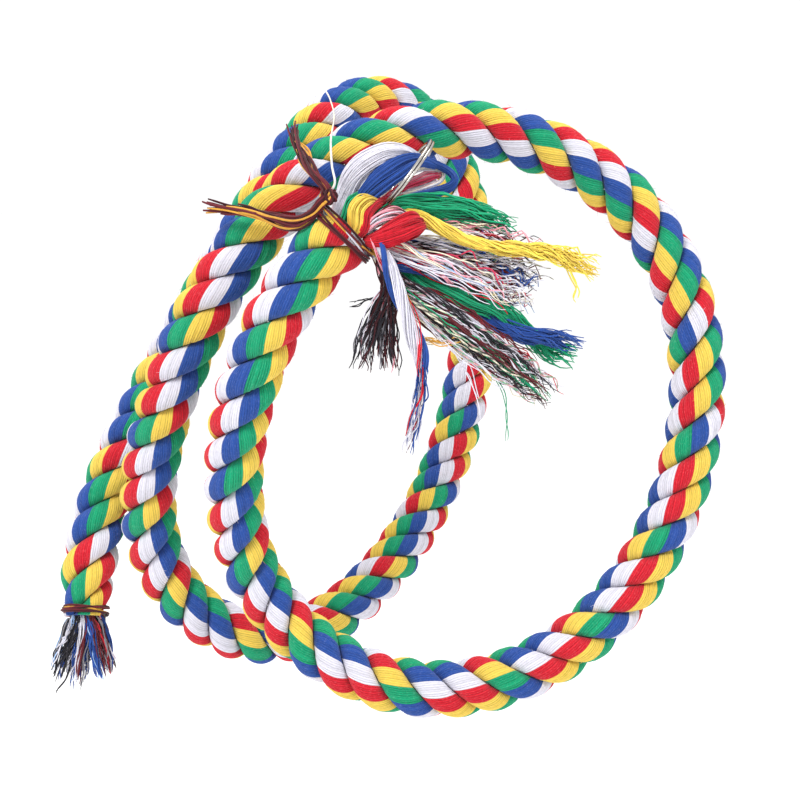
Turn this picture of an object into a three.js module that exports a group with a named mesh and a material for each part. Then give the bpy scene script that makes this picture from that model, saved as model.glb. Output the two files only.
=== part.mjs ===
// Spiral rope perch: a three-strand cotton rope laid round a steel wire that holds it in
// a coil of about two and a half turns. One end is bound with thread, opens into its
// coloured yarns and carries a steel split ring for hanging; the other end is bound and
// frayed. Millimetres, +Z up, origin at the middle of the hanging ring.
import * as THREE from 'three';

// ---- driving dimensions -------------------------------------------------------------
const ROPE_RADIUS = 11;          // outside of the three strands
const LAY_LENGTH = 42;           // rope length for one full turn of a strand, right-hand lay
const LAY_SLACK = 12;            // half the length by which the lay opens over the top of the front loop
const LAY_SLACK_AT = 520;        // middle of that stretch, and how far it spreads
const LAY_SLACK_SPREAD = 90;
const LAY_START = 6;             // the lay is this much ahead where the yarns are gathered at the ring
const LAY_START_SPREAD = 30;
const SEGMENTS = 9;              // the coil flexes at the cuts between these lengths
const CUT_GAP = 0.3;             // clearance at each cut
const STEPS_PER_LAY = 6;         // sections along one lay of a strand
const WIRE_RADIUS = 1.5;         // core wire
const WIRE_SIDES = 6;
const STRAND_INNER = 2.3;        // nearest the strands come to the rope's axis
const STRAND_SIDE = 8.4;         // where two neighbouring strands part company
const STRAND_GAP = 0.6;          // clearance between neighbouring strands
const RING_INNER = 15.7;         // split ring: inner and outer radius, half the thickness of both coils
const RING_OUTER = 18;
const RING_HALF = 1.1;
const RING_ACROSS = [-0.604, -0.138, -0.785];    // two directions in the ring's plane
const RING_DEEP = [-0.0622, 0.9979, 0.0184];
const RING_AT = [-4, -7, 11];    // the ring's middle among the rope's points below; it is the origin
const TIE_AT = 2.7;              // binding bands: distance from each rope end to their middle
const TIE_HALF = 1.9;
const TIE_INNER = 11.45;
const TIE_OUTER = 12.8;
const KNOT_AT = [-29, -30.4, 6.3];
const KNOT_RADIUS = 3;

// Centre line of the rope from the ring end to the frayed end: control points of a
// uniform cubic B-spline.
const ROPE_LINE = [
  [-22.3, -23.2, -4.8], [-40.4, -25.3, -22.3], [-52.8, -23.9, -44.4], [-61.5, -18.2, -67.6],
  [-66.3, -9.7, -91], [-67.3, 0.4, -114.3], [-63.5, 9.7, -137.6], [-51.3, 12.1, -159.3],
  [-31.9, 6.6, -174.7], [-8.6, 1.8, -183.5], [16.6, 1.7, -185.3], [41.3, 4.9, -180.4],
  [63.7, 9.9, -169.5], [82.4, 15.3, -153.2], [96.8, 20.8, -133.1], [106.9, 25.9, -110.3],
  [112.4, 30.5, -86], [113.1, 34.2, -60.8], [108.3, 36.9, -36.1], [97.5, 37.9, -13.2],
  [80.6, 37.1, 5.7], [59.5, 34.4, 19.5], [35.8, 30.4, 27.8], [11.1, 25.1, 30.1],
  [-13, 18.9, 25.3], [-34.8, 12.6, 14], [-53.5, 7.4, -2.4], [-68.8, 4.2, -22.3],
  [-81.4, 4.9, -44.4], [-91.6, 10.1, -67], [-99.7, 18, -89.8], [-105, 26.8, -113.1],
  [-104.8, 35.4, -136.9], [-96.6, 42.6, -159.7], [-79.9, 49.9, -177.2], [-58.6, 60.5, -185.5],
  [-38.6, 75.8, -183.6], [-21.4, 92.5, -175], [-6.5, 108.8, -162.4], [6.1, 123.9, -146.4],
  [16.4, 137.5, -127.5], [24.1, 149, -106.2], [29.2, 157.9, -82.9], [31.5, 163.8, -58.3],
  [30.8, 167, -33.1], [27.2, 167.5, -8], [19.8, 163.7, 16], [6.9, 152.6, 34.5],
  [-9.7, 135.7, 43], [-26.9, 117.3, 40.9], [-41.9, 101.2, 28.4], [-54.8, 88.5, 10.6],
  [-67, 78.4, -9.3], [-79.3, 70.6, -30.1], [-91.5, 64.6, -51.6], [-103.8, 59.7, -73.3],
  [-115.6, 55, -95.4], [-125.5, 49.3, -118.1], [-131.6, 41.9, -141.6], [-131.9, 31.9, -164.9],
];

// Loose yarns: points of each bundle's centre line, with half width and half depth.
const BUNDLES = {
  YARN_WHITE_BLUE: [
    [-19.4, -16.6, 4, 4.4, 3.4], [-18.3, -16.7, 8.9, 6, 3.8], [-14.4, -17.8, 14.1, 6.6, 4],
    [-9.1, -17.3, 16.9, 5.6, 3.6], [-4.9, -14.2, 17.5, 3.2, 2.6],
  ],
  // its end, through the ring
  YARN_BLUE_LOOP: [
    [-4.2, -13.6, 17.6, 2.2, 1.9], [2.6, -8.3, 18.4, 2.1, 1.9], [8.2, -4.9, 17, 1.8, 1.6],
    [11.8, -3.8, 15, 1.4, 1.3],
  ],
  YARN_GREEN_YELLOW_RED: [
    [-17.3, -29.6, -1, 4.2, 3], [-14.9, -31.2, 1.9, 5.2, 3.2], [-11.8, -31.8, 3.9, 5, 3],
    [-7.7, -30.6, 4.9, 3.8, 2.4],
  ],
  YARN_RED: [
    [-14.2, -31.9, -8, 2.4, 2], [-8.7, -33.5, -5.5, 3.8, 2.6], [-2.5, -32, -2.9, 5, 2.8],
    [3.7, -28.5, -0.3, 5.4, 2.6],
  ],
  LOOSE_STRAND: [
    [-10.1, -34.7, -12.3, 2.2, 1.6], [-7.6, -36.8, -18.6, 2.8, 1.9], [-4.2, -38.3, -27.4, 2.2, 1.7],
    [-0.8, -39.1, -37.3, 3.6, 2.1], [2.7, -39.7, -46.6, 3, 1.9], [3.6, -40.1, -54.5, 1.9, 1.5],
    [2, -40.3, -61.5, 1.7, 1.3], [0.6, -40.3, -70.3, 1.9, 1.3], [-1.6, -40, -79, 1.2, 0.9],
  ],
  YARN_GREEN_UPPER: [
    [-1, -16.8, 2.6, 3, 2.4], [7.8, -15.7, 3.2, 4.8, 3.3], [18.5, -14.9, 1.8, 4.8, 3.3],
    [28.1, -14.4, -1.1, 3.8, 2.8], [35.3, -13.8, -3.6, 2, 1.5],
  ],
  YARN_YELLOW: [
    [8.1, -21.2, -4.9, 2.2, 2.2], [14.7, -23.8, -8.2, 2.9, 2.7], [26.9, -24.3, -11.3, 2.9, 2.7],
    [41, -23.6, -12.8, 2.9, 2.7], [51.7, -22.8, -14.2, 2.6, 2.4], [60.2, -22.4, -17.4, 1.6, 1.5],
  ],
  FILLER_UPPER: [
    [-16, -12.4, -6.9, 3.6, 3.2], [-8.1, -13.8, -9.2, 4.6, 3.8], [2.6, -15.6, -13.4, 5.6, 4.2],
    [16.8, -16.4, -18.3, 6.4, 4.6], [31.1, -16.2, -22.9, 6.6, 4.6], [43.7, -15.9, -26.9, 3.8, 2.8],
  ],
  YARN_BLUE: [
    [-4.6, -25.7, -18.9, 2.4, 2.2], [5.9, -26.6, -24.4, 2.9, 2.6], [18.2, -27.7, -30.6, 2.9, 2.7],
    [30.5, -28, -37.7, 2.9, 2.7], [42.9, -27.8, -42.3, 2.9, 2.7], [53.9, -27, -43.4, 2, 1.8],
  ],
  YARN_GREEN_LOWER: [
    [-5.3, -18.6, -24.9, 2.4, 2.2], [6.1, -18.7, -30.9, 2.9, 2.6], [18.6, -18.9, -38.1, 2.9, 2.7],
    [31.1, -20, -44.4, 2.9, 2.7], [43.7, -19.8, -48.7, 2.9, 2.7], [53.4, -19.3, -51.7, 2, 1.8],
  ],
  FILLER_LOWER: [
    [-3.9, -28.4, -28.8, 2.2, 1.9], [5.9, -30, -37.4, 3.8, 2.8], [18.2, -30.4, -45.8, 4.8, 3.2],
    [30.5, -30.6, -52.8, 5.2, 3.2], [42.9, -30.9, -59.9, 4.6, 2.8], [48.8, -31.8, -65.5, 2.4, 1.8],
  ],
  FILLER_DARK: [
    [-9.4, -29, -31.9, 1.8, 1.5], [-10.9, -29.1, -38.6, 3.6, 2.4], [-11.2, -29.7, -47.3, 5, 2.8],
    [-9.8, -30.3, -56.5, 2.8, 2],
  ],
  YARN_PINK: [
    [3.1, -1.6, 8.4, 1.8, 1.6], [7, -1.3, 10.1, 2.8, 2.6], [12.5, -0.1, 11.2, 2.2, 2],
  ],
  TIE_TAIL_LEFT: [
    [-31.7, -31.8, 3.9, 1.8, 1.6], [-35.2, -31.4, 0.2, 1.9, 1.7], [-41.4, -26.8, -2.5, 2, 1.7],
    [-50.4, -18.6, -1.6, 2, 1.7], [-59.8, -12.1, 0.2, 1.9, 1.6], [-68.5, -7.9, 1.1, 1.7, 1.4],
    [-74.7, -4.8, 1.7, 1.2, 1],
  ],
  TIE_TAIL_UP: [
    [-30.4, -29.8, 9.6, 1.7, 1.5], [-34.3, -27, 13.7, 1.9, 1.6], [-38.6, -18, 18.6, 1.9, 1.6],
    [-41.6, -8.9, 24.1, 1.5, 1.3], [-43.7, 1.2, 29.8, 0.9, 0.8],
  ],
  WHITE_THREAD: [
    [-26.9, -30.5, 11, 0.5, 0.5], [-28.1, -25.5, 16.7, 0.5, 0.5], [-28.8, -16.9, 25.2, 0.5, 0.5],
    [-28.1, -6.3, 33.6, 0.5, 0.5], [-29.9, 3, 39.8, 0.5, 0.5], [-32, 9.6, 43.2, 0.5, 0.5],
  ],
  FRAYED_B_LEFT: [
    [-135.9, 30.4, -167.6, 3.4, 5], [-137.7, 28.1, -174.4, 4, 5.6], [-139.9, 25.6, -182.8, 3.8, 4.8],
    [-142, 23.2, -191.2, 2.2, 2.2],
  ],
  FRAYED_B_RIGHT: [
    [-127.2, 31.3, -167.9, 3.4, 5], [-125.4, 29.2, -174.4, 4, 5.6], [-123.1, 27, -180.8, 3.8, 4.6],
    [-119.7, 24.7, -188.4, 2, 2],
  ],
};

// ---- rope centre line ---------------------------------------------------------------
function splinePoints(control, perSpan) {
  const c = control.map((p) => new THREE.Vector3(...p));
  c.unshift(c[0].clone().multiplyScalar(2).sub(c[1]));
  c.push(c[c.length - 1].clone().multiplyScalar(2).sub(c[c.length - 2]));
  const out = [];
  for (let i = 0; i + 3 < c.length; i++) {
    const last = i + 4 === c.length;
    for (let k = 0; k < perSpan + (last ? 1 : 0); k++) {
      const t = k / perSpan;
      const w = [(1 - t) ** 3, 3 * t ** 3 - 6 * t ** 2 + 4, -3 * t ** 3 + 3 * t ** 2 + 3 * t + 1, t ** 3];
      const p = new THREE.Vector3();
      for (let j = 0; j < 4; j++) p.addScaledVector(c[i + j], w[j] / 6);
      out.push(p);
    }
  }
  return out;
}

const line = splinePoints(ROPE_LINE, 40);
const along = [0];
for (let i = 1; i < line.length; i++) along.push(along[i - 1] + line[i].distanceTo(line[i - 1]));
const ROPE_LENGTH = along[along.length - 1];
const tangents = line.map((p, i) =>
  line[Math.min(i + 1, line.length - 1)].clone().sub(line[Math.max(i - 1, 0)]).normalize());
// a normal carried along the line without twisting about it
const normals = [new THREE.Vector3(0, 1, 0)];
normals[0].addScaledVector(tangents[0], -normals[0].dot(tangents[0])).normalize();
for (let i = 1; i < line.length; i++) {
  const n = normals[i - 1].clone();
  n.addScaledVector(tangents[i], -n.dot(tangents[i])).normalize();
  normals.push(n);
}

// position and axes of the rope at a distance s from its ring end
function ropeFrame(s) {
  let lo = 0, hi = line.length - 1;
  while (hi - lo > 1) {
    const mid = (lo + hi) >> 1;
    if (along[mid] <= s) lo = mid; else hi = mid;
  }
  const f = (s - along[lo]) / (along[hi] - along[lo]);
  const at = line[lo].clone().lerp(line[hi], f);
  const t = tangents[lo].clone().lerp(tangents[hi], f).normalize();
  const n = normals[lo].clone().lerp(normals[hi], f);
  n.addScaledVector(t, -n.dot(t)).normalize();
  return { at, t, n, b: new THREE.Vector3().crossVectors(t, n) };
}

// ---- closed solids ------------------------------------------------------------------
// A solid through a row of rings of equal length, each running right-handed round the way
// forward. cross(j) says which diagonal the side between points j and j + 1 takes.
function loft(rings, cross = () => false) {
  const n = rings[0].length;
  const position = rings.flat().flatMap((p) => [p.x, p.y, p.z]);
  const index = [];
  for (let i = 0; i + 1 < rings.length; i++) {
    for (let j = 0; j < n; j++) {
      const k = (j + 1) % n;
      const a = i * n + j, b = i * n + k, c = (i + 1) * n + j, d = (i + 1) * n + k;
      if (cross(j)) index.push(a, b, d, a, d, c);
      else index.push(a, b, c, b, d, c);
    }
  }
  const end = (rings.length - 1) * n;
  for (let j = 1; j + 1 < n; j++) {
    index.push(0, j + 1, j);
    index.push(end, end + j, end + j + 1);
  }
  const g = new THREE.BufferGeometry();
  g.setAttribute('position', new THREE.Float32BufferAttribute(position, 3));
  g.setIndex(index);
  g.computeVertexNormals();
  return g;
}

const rad = THREE.MathUtils.degToRad;
const sideTurn = rad(60) - Math.asin(STRAND_GAP / 2 / STRAND_SIDE);
// one strand's outline across the rope, as radius and angle from the strand's middle
const STRAND_OUTLINE = [
  [STRAND_INNER, 0], [STRAND_SIDE, -sideTurn], [10.4, rad(-30)],
  [ROPE_RADIUS, 0], [10.4, rad(30)], [STRAND_SIDE, sideTurn],
];

function ropeRing(s, outline, turn) {
  const f = ropeFrame(s);
  return outline.map(([r, a]) => f.at.clone()
    .addScaledVector(f.n, r * Math.cos(a + turn))
    .addScaledVector(f.b, r * Math.sin(a + turn)));
}

function stations(from, to, step) {
  const n = Math.max(2, Math.round((to - from) / step));
  return Array.from({ length: n + 1 }, (_, i) => from + ((to - from) * i) / n);
}

// how far a strand has turned round the rope at a distance s from the ring end
function layTurn(s) {
  const behind = LAY_SLACK * (1 + Math.tanh((s - LAY_SLACK_AT) / LAY_SLACK_SPREAD))
    - LAY_START * Math.exp(-s / LAY_START_SPREAD);
  return (2 * Math.PI * (s - behind)) / LAY_LENGTH;
}

function strandGeometry(from, to, phase) {
  const rings = stations(from, to, LAY_LENGTH / STEPS_PER_LAY)
    .map((s) => ropeRing(s, STRAND_OUTLINE, layTurn(s) + phase));
  // the two flanks are kept hollow, so that neighbouring strands stay clear
  return loft(rings, (j) => j === 0 || j === 5);
}

function wireGeometry(from, to) {
  const outline = Array.from({ length: WIRE_SIDES }, (_, i) => [WIRE_RADIUS, (2 * Math.PI * i) / WIRE_SIDES]);
  return loft(stations(from, to, 18).map((s) => ropeRing(s, outline, 0)));
}

// a tapering bundle of yarns: oval sections, their depth kept towards +Y
function bundleGeometry(rows, sides = 8, perSpan = 2) {
  const curve = new THREE.CatmullRomCurve3(rows.map((r) => new THREE.Vector3(r[0], r[1], r[2])));
  const count = (rows.length - 1) * perSpan;
  const rings = [];
  for (let i = 0; i <= count; i++) {
    const u = i / count;
    const at = curve.getPoint(u);
    const t = curve.getTangent(u);
    const deep = new THREE.Vector3(0, 1, 0);
    deep.addScaledVector(t, -deep.dot(t)).normalize();
    const wide = new THREE.Vector3().crossVectors(deep, t);
    const k = Math.min(rows.length - 2, Math.floor(u * (rows.length - 1)));
    const f = u * (rows.length - 1) - k;
    const rw = rows[k][3] * (1 - f) + rows[k + 1][3] * f;
    const rd = rows[k][4] * (1 - f) + rows[k + 1][4] * f;
    rings.push(Array.from({ length: sides }, (_, j) => {
      const a = (2 * Math.PI * j) / sides;
      return at.clone().addScaledVector(wide, rw * Math.cos(a)).addScaledVector(deep, rd * Math.sin(a));
    }));
  }
  return loft(rings);
}

function latheGeometry(profile, segments) {
  const closed = [...profile, profile[0]].map(([r, h]) => new THREE.Vector2(r, h));
  return new THREE.LatheGeometry(closed, segments);
}

// ---- materials ----------------------------------------------------------------------
const cloth = (color) => new THREE.MeshStandardMaterial({ color, roughness: 0.95, metalness: 0 });
const STRAND_CLOTH = [cloth(0xc8283a), cloth(0xe9c34a), cloth(0x2f55a8)];
const STEEL = new THREE.MeshStandardMaterial({ color: 0xb9bbbd, roughness: 0.2, metalness: 1 });
const WIRE = new THREE.MeshStandardMaterial({ color: 0x8d9093, roughness: 0.45, metalness: 1 });

const perch = new THREE.Group();
perch.name = 'spiral_rope_perch';
// the rope and its yarns, set off so that the ring's middle is the origin
const coil = new THREE.Group();
coil.position.set(...RING_AT).negate();
perch.add(coil);

function add(name, geometry, material, parent = coil) {
  const mesh = new THREE.Mesh(geometry, material);
  mesh.name = name;
  parent.add(mesh);
  return mesh;
}

// ---- rope: strands and core wire, length by length ----------------------------------
for (let i = 0; i < SEGMENTS; i++) {
  const from = (ROPE_LENGTH * i) / SEGMENTS + (i ? CUT_GAP / 2 : 0);
  const to = (ROPE_LENGTH * (i + 1)) / SEGMENTS - (i + 1 < SEGMENTS ? CUT_GAP / 2 : 0);
  ['a', 'b', 'c'].forEach((letter, k) =>
    add(`strand_${letter}_${i + 1}`, strandGeometry(from, to, (2 * Math.PI * k) / 3), STRAND_CLOTH[k]));
  add(`core_wire_${i + 1}`, wireGeometry(from, to), WIRE);
}

// ---- split ring ---------------------------------------------------------------------
const ringGroup = new THREE.Group();
{
  const across = new THREE.Vector3(...RING_ACROSS).normalize();
  const normal = new THREE.Vector3().crossVectors(across, new THREE.Vector3(...RING_DEEP)).normalize();
  const third = new THREE.Vector3().crossVectors(normal, across);
  ringGroup.quaternion.setFromRotationMatrix(new THREE.Matrix4().makeBasis(third, normal, across));
}
perch.add(ringGroup);
add('hanger_ring', latheGeometry([
  [RING_INNER + 0.3, -RING_HALF], [RING_OUTER - 0.3, -RING_HALF], [RING_OUTER, -RING_HALF + 0.4],
  [RING_OUTER - 0.3, 0], [RING_OUTER, RING_HALF - 0.4], [RING_OUTER - 0.3, RING_HALF],
  [RING_INNER + 0.3, RING_HALF], [RING_INNER, RING_HALF - 0.4], [RING_INNER + 0.3, 0],
  [RING_INNER, -RING_HALF + 0.4],
], 36), STEEL, ringGroup);

// ---- bindings -----------------------------------------------------------------------
function band(name, s, material) {
  const f = ropeFrame(s);
  const g = new THREE.Group();
  g.position.copy(f.at);
  g.quaternion.setFromRotationMatrix(new THREE.Matrix4().makeBasis(f.n, f.t, f.n.clone().cross(f.t)));
  coil.add(g);
  add(name, latheGeometry([
    [TIE_INNER, -TIE_HALF + 0.3], [TIE_OUTER - 0.4, -TIE_HALF], [TIE_OUTER, -TIE_HALF + 0.9],
    [TIE_OUTER - 0.3, 0], [TIE_OUTER, TIE_HALF - 0.9], [TIE_OUTER - 0.4, TIE_HALF],
    [TIE_INNER, TIE_HALF - 0.3],
  ], 24), material, g);
}
band('tie_band', TIE_AT, cloth(0x5d1f2a));
band('end_b_tie_band', ROPE_LENGTH - TIE_AT, cloth(0xe6e2dc));

const knot = add('tie_knot', new THREE.SphereGeometry(KNOT_RADIUS, 10, 8), cloth(0x5d1f2a));
knot.position.set(...KNOT_AT);

// ---- loose yarns --------------------------------------------------------------------
add('tie_tail_left', bundleGeometry(BUNDLES.TIE_TAIL_LEFT, 8, 2), cloth(0x6b2430));
add('tie_tail_up', bundleGeometry(BUNDLES.TIE_TAIL_UP, 8, 2), cloth(0x6b2430));
add('white_thread', bundleGeometry(BUNDLES.WHITE_THREAD, 6, 2), cloth(0xf2f0ec));
add('yarn_white_blue', bundleGeometry(BUNDLES.YARN_WHITE_BLUE), cloth(0xdfe2ec));
add('yarn_blue_loop', bundleGeometry(BUNDLES.YARN_BLUE_LOOP), cloth(0x2f58ab));
add('yarn_green_yellow_red', bundleGeometry(BUNDLES.YARN_GREEN_YELLOW_RED), cloth(0xe2b93c));
add('yarn_red', bundleGeometry(BUNDLES.YARN_RED), cloth(0xcf2233));
add('yarn_green_upper', bundleGeometry(BUNDLES.YARN_GREEN_UPPER), cloth(0x178c58));
add('yarn_yellow', bundleGeometry(BUNDLES.YARN_YELLOW), cloth(0xf0d258));
add('yarn_blue', bundleGeometry(BUNDLES.YARN_BLUE), cloth(0x2f58ab));
add('yarn_green_lower', bundleGeometry(BUNDLES.YARN_GREEN_LOWER), cloth(0x1c9a63));
add('yarn_pink', bundleGeometry(BUNDLES.YARN_PINK), cloth(0xd77d8e));
add('filler_upper', bundleGeometry(BUNDLES.FILLER_UPPER), cloth(0xb9b2b4));
add('filler_lower', bundleGeometry(BUNDLES.FILLER_LOWER), cloth(0x5a6a60));
add('filler_dark', bundleGeometry(BUNDLES.FILLER_DARK), cloth(0x4a3a40));
add('loose_strand', bundleGeometry(BUNDLES.LOOSE_STRAND), cloth(0xe8e8f0));
add('frayed_end_b_left', bundleGeometry(BUNDLES.FRAYED_B_LEFT), cloth(0x7d86a8));
add('frayed_end_b_right', bundleGeometry(BUNDLES.FRAYED_B_RIGHT), cloth(0x8a6f80));

export default perch;
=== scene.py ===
import math
import bpy
import numpy as np
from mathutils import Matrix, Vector


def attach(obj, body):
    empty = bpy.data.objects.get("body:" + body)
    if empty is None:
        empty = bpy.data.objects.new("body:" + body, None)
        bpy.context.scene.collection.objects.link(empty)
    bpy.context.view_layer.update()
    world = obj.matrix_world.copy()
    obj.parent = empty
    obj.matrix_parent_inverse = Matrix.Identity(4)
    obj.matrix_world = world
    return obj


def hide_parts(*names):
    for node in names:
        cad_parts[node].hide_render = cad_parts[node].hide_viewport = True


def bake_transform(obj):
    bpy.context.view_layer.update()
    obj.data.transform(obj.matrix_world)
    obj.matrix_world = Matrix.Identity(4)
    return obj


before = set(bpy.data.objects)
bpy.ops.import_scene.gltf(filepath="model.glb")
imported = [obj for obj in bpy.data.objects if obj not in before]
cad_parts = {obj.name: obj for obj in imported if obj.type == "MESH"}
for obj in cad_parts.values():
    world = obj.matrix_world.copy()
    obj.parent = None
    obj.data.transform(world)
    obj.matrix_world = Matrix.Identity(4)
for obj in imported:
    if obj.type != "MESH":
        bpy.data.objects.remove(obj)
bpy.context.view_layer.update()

MM = 0.001


def srgb(r, g, b):
    return tuple(
        (c / 255 / 12.92) if c / 255 <= 0.04045 else ((c / 255 + 0.055) / 1.055) ** 2.4
        for c in (r, g, b)
    )


RED = srgb(196, 28, 44)
CRIMSON = srgb(178, 20, 38)
WHITE = srgb(207, 205, 216)
BLUE = srgb(38, 72, 144)
GREEN = srgb(18, 146, 102)
YELLOW = srgb(222, 190, 80)
LEMON = srgb(228, 206, 84)
GREY = srgb(120, 118, 124)
MAROON = srgb(92, 28, 36)
UMBER = srgb(56, 20, 26)
GOLD = srgb(206, 150, 58)
BLACK = srgb(34, 32, 38)
PINK = srgb(222, 150, 164)
ROSE = srgb(202, 62, 92)
SKY = srgb(150, 178, 216)
OLIVE = srgb(120, 116, 70)
CREAM = srgb(238, 228, 205)

# ---- dimensions of the rope, in millimetres, as in the CAD source ---------------------
ROPE_RADIUS = 11.0
LAY_LENGTH = 42.0
LAY_SLACK, LAY_SLACK_AT, LAY_SLACK_SPREAD = 12.0, 520.0, 90.0
LAY_START, LAY_START_SPREAD = 6.0, 30.0
SEGMENTS = 9
TIE_AT = 2.7
FLARE, WAIST = 0.09, 0.24        # the rope spreads at its ring end and is drawn in at the other
RING_AT = np.array([-4.0, -7.0, 11.0])   # the ring's middle among the rope's points; it is the origin
KNOT_AT = np.array([-29.0, -30.4, 6.3])

ROPE_LINE = [
    [-22.3, -23.2, -4.8], [-40.4, -25.3, -22.3], [-52.8, -23.9, -44.4], [-61.5, -18.2, -67.6],
    [-66.3, -9.7, -91], [-67.3, 0.4, -114.3], [-63.5, 9.7, -137.6], [-51.3, 12.1, -159.3],
    [-31.9, 6.6, -174.7], [-8.6, 1.8, -183.5], [16.6, 1.7, -185.3], [41.3, 4.9, -180.4],
    [63.7, 9.9, -169.5], [82.4, 15.3, -153.2], [96.8, 20.8, -133.1], [106.9, 25.9, -110.3],
    [112.4, 30.5, -86], [113.1, 34.2, -60.8], [108.3, 36.9, -36.1], [97.5, 37.9, -13.2],
    [80.6, 37.1, 5.7], [59.5, 34.4, 19.5], [35.8, 30.4, 27.8], [11.1, 25.1, 30.1],
    [-13, 18.9, 25.3], [-34.8, 12.6, 14], [-53.5, 7.4, -2.4], [-68.8, 4.2, -22.3],
    [-81.4, 4.9, -44.4], [-91.6, 10.1, -67], [-99.7, 18, -89.8], [-105, 26.8, -113.1],
    [-104.8, 35.4, -136.9], [-96.6, 42.6, -159.7], [-79.9, 49.9, -177.2], [-58.6, 60.5, -185.5],
    [-38.6, 75.8, -183.6], [-21.4, 92.5, -175], [-6.5, 108.8, -162.4], [6.1, 123.9, -146.4],
    [16.4, 137.5, -127.5], [24.1, 149, -106.2], [29.2, 157.9, -82.9], [31.5, 163.8, -58.3],
    [30.8, 167, -33.1], [27.2, 167.5, -8], [19.8, 163.7, 16], [6.9, 152.6, 34.5],
    [-9.7, 135.7, 43], [-26.9, 117.3, 40.9], [-41.9, 101.2, 28.4], [-54.8, 88.5, 10.6],
    [-67, 78.4, -9.3], [-79.3, 70.6, -30.1], [-91.5, 64.6, -51.6], [-103.8, 59.7, -73.3],
    [-115.6, 55, -95.4], [-125.5, 49.3, -118.1], [-131.6, 41.9, -141.6], [-131.9, 31.9, -164.9],
]

# centre lines of the cords that leave the knot
CORD_LINES = {
    "tie_tail_left": [
        [-31.7, -31.8, 3.9], [-35.2, -31.4, 0.2], [-41.4, -26.8, -2.5], [-50.4, -18.6, -1.6],
        [-59.8, -12.1, 0.2], [-68.5, -7.9, 1.1], [-74.7, -4.8, 1.7]],
    "tie_tail_up": [
        [-30.4, -29.8, 9.6], [-34.3, -27, 13.7], [-38.6, -18, 18.6], [-41.6, -8.9, 24.1], [-43.7, 1.2, 29.8]],
    "white_thread": [
        [-26.9, -30.5, 11], [-28.1, -25.5, 16.7], [-28.8, -16.9, 25.2], [-28.1, -6.3, 33.6],
        [-29.9, 3, 39.8], [-32, 9.6, 43.2]],
}

# How far the yarns of each strand have rolled inside it, in bands of one colour, at
# distances along the rope: a slow drift, as a hand-coiled rope has.
YARN_ROLL = (
    ((0, 10.3), (180, 9.6), (350, 10.5), (480, 11.3), (700, 10.8), (925, 11.7), (1040, 13.8)),
    ((0, 8.6), (130, 11.1), (190, 12.3), (330, 13.3), (700, 13.4), (925, 14.5), (1040, 16.9)),
    ((0, 10.8), (180, 11.9), (330, 13.0), (420, 13.7), (600, 14.1), (690, 11.3), (925, 11.4), (1040, 14.3)),
)
BANDS = (BLUE, WHITE, RED, YELLOW, GREEN)
YARNS = 40                       # yarns round one strand
PER_YARN = 3                     # mesh columns on each
COLUMNS = PER_YARN * YARNS
ROWS_PER_HALF = 118              # mesh rows along half a length of the rope


# ---- camera ---------------------------------------------------------------------------
camera = bpy.data.objects.new("camera", bpy.data.cameras.new("camera"))
bpy.context.scene.collection.objects.link(camera)
CAMERA_AT = np.array([-4.56, -550.72, 26.75])
camera.location = ((CAMERA_AT - RING_AT) * MM).tolist()
camera.rotation_euler = (math.radians(80), 0, 0)
camera.data.sensor_width = 36
camera.data.lens = 67.5
camera.data.clip_start, camera.data.clip_end = 0.02, 50
bpy.context.scene.camera = camera


# ---- curves ---------------------------------------------------------------------------
def unit(v):
    return v / np.maximum(np.linalg.norm(v, axis=-1, keepdims=True), 1e-12)


def b_spline(control, per=40):
    c = np.array(control, float)
    c = np.vstack([2 * c[0] - c[1], c, 2 * c[-1] - c[-2]])
    out, n = [], len(c) - 3
    for i in range(n):
        for k in range(per + (i == n - 1)):
            t = k / per
            w = ((1 - t) ** 3, 3 * t**3 - 6 * t**2 + 4, -3 * t**3 + 3 * t**2 + 3 * t + 1, t**3)
            out.append(sum(c[i + j] * w[j] for j in range(4)) / 6)
    return np.array(out)


LINE = b_spline(ROPE_LINE)
ALONG = np.concatenate([[0], np.cumsum(np.linalg.norm(np.diff(LINE, axis=0), axis=1))])
LENGTH = ALONG[-1]
TANGENT = unit(LINE[np.minimum(np.arange(len(LINE)) + 1, len(LINE) - 1)] - LINE[np.maximum(np.arange(len(LINE)) - 1, 0)])
NORMAL = np.zeros_like(LINE)
carried = np.array([0.0, 1.0, 0.0])
for i, t in enumerate(TANGENT):
    carried = unit(carried - t * (carried @ t))
    NORMAL[i] = carried


def interpolate(s, table):
    return np.stack([np.interp(s, ALONG, table[:, j]) for j in range(3)], -1)


def rope_frame(s):
    s = np.atleast_1d(np.asarray(s, float))
    at, t, n = interpolate(s, LINE), unit(interpolate(s, TANGENT)), interpolate(s, NORMAL)
    n = unit(n - t * (n * t).sum(-1, keepdims=True))
    return at, t, n, np.cross(t, n)


def lay_turn(s):
    behind = LAY_SLACK * (1 + np.tanh((s - LAY_SLACK_AT) / LAY_SLACK_SPREAD)) - LAY_START * np.exp(-s / LAY_START_SPREAD)
    return 2 * np.pi * (s - behind) / LAY_LENGTH


def drift(s, knots):
    """Cosine-eased values between knots."""
    k = np.array(knots, float)
    i = np.clip(np.searchsorted(k[:, 0], s, side="right") - 1, 0, len(k) - 2)
    f = np.clip((s - k[i, 0]) / (k[i + 1, 0] - k[i, 0]), 0, 1)
    f = (1 - np.cos(np.pi * f)) / 2
    return k[i, 1] * (1 - f) + k[i + 1, 1] * f


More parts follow.
